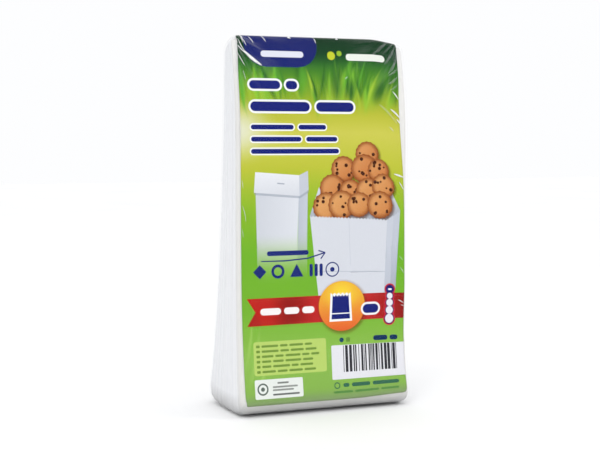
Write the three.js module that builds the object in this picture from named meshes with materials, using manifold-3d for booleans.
// A shut retail pack of flat paper bags, standing on its folded ends.
//
// A hundred flat bags lie one behind another as a dense block. Their folded bottoms make the block
// thick at the foot and it draws in upwards, so both faces are gently curved wedges. A clear shrink
// film holds the block, and a printed paper label lies under the film on the front face and bends
// over the top edge.
//
// Millimetres, +Z up. The label faces -Y and +X is to the viewer's right. The origin is the middle
// of the pack's box, at the surface that the pack stands on.

import * as THREE from "three";
import { mergeVertices } from "three/addons/utils/BufferGeometryUtils.js";
import Module from "manifold-3d";

// ---- Driving dimensions -------------------------------------------------------------------------

const PACK_HEIGHT = 215; // a 220 mm bag, less what its rounded foot and top take up
const PACK_HALF_WIDTH = 53; // a 100 mm bag, with the stack's own unevenness and the film

// Side profile. Depths are measured from a plane inside the block, and the finished block is
// centred afterwards.
const FRONT_PLANE = -22.0; // the front face above its flared foot
const FRONT_FLARE = 7.5; // how far the foot stands in front of that plane
const FRONT_FLARE_HEIGHT = 34; // the height in which the flare falls to about a third
const TOP_LEAN = 9.5; // how far the mouth end leans back from the front plane
const TOP_LEAN_START = 154; // the height where that lean begins
const BACK_TAPER = 13.0; // the back slopes evenly by this much, down to the back plane, y = 0
const BACK_FLARE = 23.5; // how far the folded bottoms stand behind that slope
const BACK_FLARE_HEIGHT = 68;

// Rounded edges. A "share" is a part of the block's depth, and the rest are millimetres.
const FOOT_FRONT = { rise: 8.0, share: 0.26 };
const FOOT_BACK = { rise: 10.4, share: 0.44 };
const TOP_FRONT = { drop: 3.5, share: 0.3 };
const TOP_BACK = { drop: 12.0, share: 0.45 };
const SIDE_FRONT = { inset: 2.0, share: 0.07 };
const SIDE_BACK = { inset: 4.0, share: 0.2 };
const FOOT_CORNER = { across: 3.5, up: 4.5 };
const TOP_CORNER_FRONT = { across: 3.0, up: 2.0 };
const TOP_CORNER_REAR = { across: 9.5, up: 6.5 };
const TOP_CORNER_SPREAD = 0.45; // share of the depth in which a top corner grows rounder

// The label sheet and its recess.
const LABEL_HALF_SHARE = 0.99; // of the flat front face's half width
const LABEL_FOOT_SHARE = 0.003; // of the front face's height, up from the rounded foot
const LABEL_OVER_SHARE = 0.5; // of the top's depth, where the sheet's upper edge ends
const LABEL_THICKNESS = 0.6;
const LABEL_GAP = 0.3; // between the sheet and the block behind and around it
const CUTTER_REACH = 3.0; // how far the recess cutter stands out of the block

// Facets.
const BLOCK_SEGMENTS = { across: 12, through: 16, up: 34 };
const LABEL_SEGMENTS = { across: 10, front: 26, over: 6 };
const SLOPE_STEP = 1e-3; // parameter step for a surface slope

const WELD_DISTANCE = 1e-4;

// ---- The block's surface ------------------------------------------------------------------------

/** The fall of a quarter ellipse: 0 where the edge begins, 1 at the very edge. */
function edgeFall(share) {
  const q = THREE.MathUtils.clamp(share, 0, 1);
  return 1 - Math.sqrt(1 - q * q);
}

/** The fall at one end of a span from 0 to 1, for an edge that is `width` wide. */
function fallNear(distance, width) {
  return edgeFall(1 - distance / width);
}

function frontDepth(z) {
  const lean = Math.max(0, (z - TOP_LEAN_START) / (PACK_HEIGHT - TOP_LEAN_START));
  return FRONT_PLANE - FRONT_FLARE * Math.exp(-z / FRONT_FLARE_HEIGHT) + TOP_LEAN * lean * lean;
}

function backDepth(z) {
  return BACK_TAPER * (1 - z / PACK_HEIGHT) + BACK_FLARE * Math.exp(-z / BACK_FLARE_HEIGHT);
}

/**
 * Rounds one corner of the block seen from the front. `x` and `z` are distances inwards from the
 * corner's two edges; the square corner becomes a quarter ellipse.
 */
function roundCorner(x, z, size) {
  const s = 1 - x / size.across;
  const t = 1 - z / size.up;
  if (s <= 0 || t <= 0) return [x, z];
  return [
    size.across * (1 - s * Math.sqrt(1 - (t * t) / 2)),
    size.up * (1 - t * Math.sqrt(1 - (s * s) / 2)),
  ];
}

/** A top corner is nearly square where the label bends over, and rounder behind that. */
function topCorner(through) {
  const grown = THREE.MathUtils.smoothstep(through, 0, TOP_CORNER_SPREAD);
  return {
    across: THREE.MathUtils.lerp(TOP_CORNER_FRONT.across, TOP_CORNER_REAR.across, grown),
    up: THREE.MathUtils.lerp(TOP_CORNER_FRONT.up, TOP_CORNER_REAR.up, grown),
  };
}

/**
 * A point of the block. `across` runs from -1 at the left side to 1 at the right, `through` from 0 at
 * the front to 1 at the back, and `up` from 0 at the foot to 1 at the top.
 */
function blockPoint(across, through, up) {
  const halfWidth =
    PACK_HALF_WIDTH -
    SIDE_FRONT.inset * fallNear(through, SIDE_FRONT.share) -
    SIDE_BACK.inset * fallNear(1 - through, SIDE_BACK.share);
  const foot =
    FOOT_FRONT.rise * fallNear(through, FOOT_FRONT.share) +
    FOOT_BACK.rise * fallNear(1 - through, FOOT_BACK.share);
  const top =
    PACK_HEIGHT -
    TOP_FRONT.drop * fallNear(through, TOP_FRONT.share) -
    TOP_BACK.drop * fallNear(1 - through, TOP_BACK.share);

  let inset = halfWidth * (1 - Math.abs(across));
  let z = THREE.MathUtils.lerp(foot, top, up);
  if (up < 0.5) {
    const [x, rise] = roundCorner(inset, z - foot, FOOT_CORNER);
    inset = x;
    z = foot + rise;
  } else {
    const [x, drop] = roundCorner(inset, top - z, topCorner(through));
    inset = x;
    z = top - drop;
  }
  const x = Math.sign(across) * (halfWidth - inset);
  return new THREE.Vector3(x, THREE.MathUtils.lerp(frontDepth(z), backDepth(z), through), z);
}

/** Moves each vertex of a box geometry with `place`, and welds the six faces into one surface. */
function reshape(box, place) {
  const position = box.attributes.position;
  const corner = new THREE.Vector3();
  for (let i = 0; i < position.count; i++) {
    corner.fromBufferAttribute(position, i);
    const placed = place(corner);
    position.setXYZ(i, placed.x, placed.y, placed.z);
  }
  box.deleteAttribute("normal");
  box.deleteAttribute("uv");
  box.clearGroups();
  return mergeVertices(box, WELD_DISTANCE);
}

/** The whole block, with its facets closer together towards every edge. */
function blockGeometry() {
  const { across, through, up } = BLOCK_SEGMENTS;
  const cube = new THREE.BoxGeometry(1, 1, 1, across, through, up);
  return reshape(cube, ({ x, y, z }) =>
    blockPoint(
      Math.sin(Math.PI * x),
      (1 + Math.sin(Math.PI * y)) / 2,
      (1 + Math.sin(Math.PI * z)) / 2,
    ),
  );
}

// ---- The label ----------------------------------------------------------------------------------

/**
 * Where the label runs on the block: up the front face, then over the top edge. `run` is 0 at the
 * label's foot, 1 where the front face ends, and 2 at the label's upper edge.
 */
function labelRun(run) {
  if (run <= 1) return { through: 0, up: THREE.MathUtils.lerp(LABEL_FOOT_SHARE, 1, run) };
  const over = Math.min(run, 2) - 1;
  return { through: LABEL_OVER_SHARE * over * over, up: 1 };
}

function labelPoint(across, run) {
  const { through, up } = labelRun(run);
  return blockPoint(across * LABEL_HALF_SHARE, through, up);
}

/** The block's outward direction under the label. */
function labelOutward(across, run) {
  const right = labelPoint(across + SLOPE_STEP, run).sub(labelPoint(across - SLOPE_STEP, run));
  const upward = labelPoint(across, run + SLOPE_STEP).sub(labelPoint(across, run - SLOPE_STEP));
  return right.cross(upward).normalize();
}

/**
 * A slab that follows the block's surface under the label, from `outside` in front of that surface
 * to `inside` behind it, and `margin` wider all round.
 */
function slabOnBlock(outside, inside, margin) {
  const { across, front, over } = LABEL_SEGMENTS;
  const rows = front + over;
  const slab = new THREE.BoxGeometry(1, 1, 1, across, 1, rows);
  return reshape(slab, ({ x, y, z }) => {
    const side = 2 * x;
    const row = (z + 0.5) * rows;
    const run = row <= front ? row / front : 1 + (row - front) / over;
    const outward = labelOutward(side, run);
    const placed = labelPoint(side, run);
    placed.addScaledVector(outward, y < 0 ? outside : -inside);
    if (Math.abs(side) === 1) placed.x += margin * side;
    if (row === 0) placed.z -= margin;
    if (row === rows) placed.y += margin;
    return placed;
  });
}

// ---- Boolean cut --------------------------------------------------------------------------------

const wasm = await Module();
wasm.setup();

function toSolid(geometry) {
  return new wasm.Manifold(
    new wasm.Mesh({
      numProp: 3,
      vertProperties: new Float32Array(geometry.attributes.position.array),
      triVerts: new Uint32Array(geometry.index.array),
    }),
  );
}

function toGeometry(solid) {
  const { vertProperties, triVerts } = solid.getMesh();
  const geometry = new THREE.BufferGeometry();
  geometry.setAttribute("position", new THREE.BufferAttribute(vertProperties, 3));
  geometry.setIndex(new THREE.BufferAttribute(triVerts, 1));
  geometry.computeVertexNormals();
  return geometry;
}

// ---- The pack -----------------------------------------------------------------------------------

const wrappedWhite = new THREE.MeshStandardMaterial({ color: 0xf1f2f5, roughness: 0.3 });
const printedLabel = new THREE.MeshStandardMaterial({ color: 0x7fae3c, roughness: 0.25 });

function namedMesh(name, geometry, material) {
  const mesh = new THREE.Mesh(geometry, material);
  mesh.name = name;
  return mesh;
}

function makePack() {
  const cutter = slabOnBlock(CUTTER_REACH, LABEL_THICKNESS + LABEL_GAP, LABEL_GAP);
  const block = toGeometry(toSolid(blockGeometry()).subtract(toSolid(cutter)));
  const label = slabOnBlock(0, LABEL_THICKNESS, 0);

  const pack = new THREE.Group();
  pack.add(namedMesh("wrapped_bag_stack", block, wrappedWhite));
  pack.add(namedMesh("label_sheet", label, printedLabel));

  block.computeBoundingBox();
  pack.position.y = -(block.boundingBox.min.y + block.boundingBox.max.y) / 2;
  return pack;
}

export default makePack();
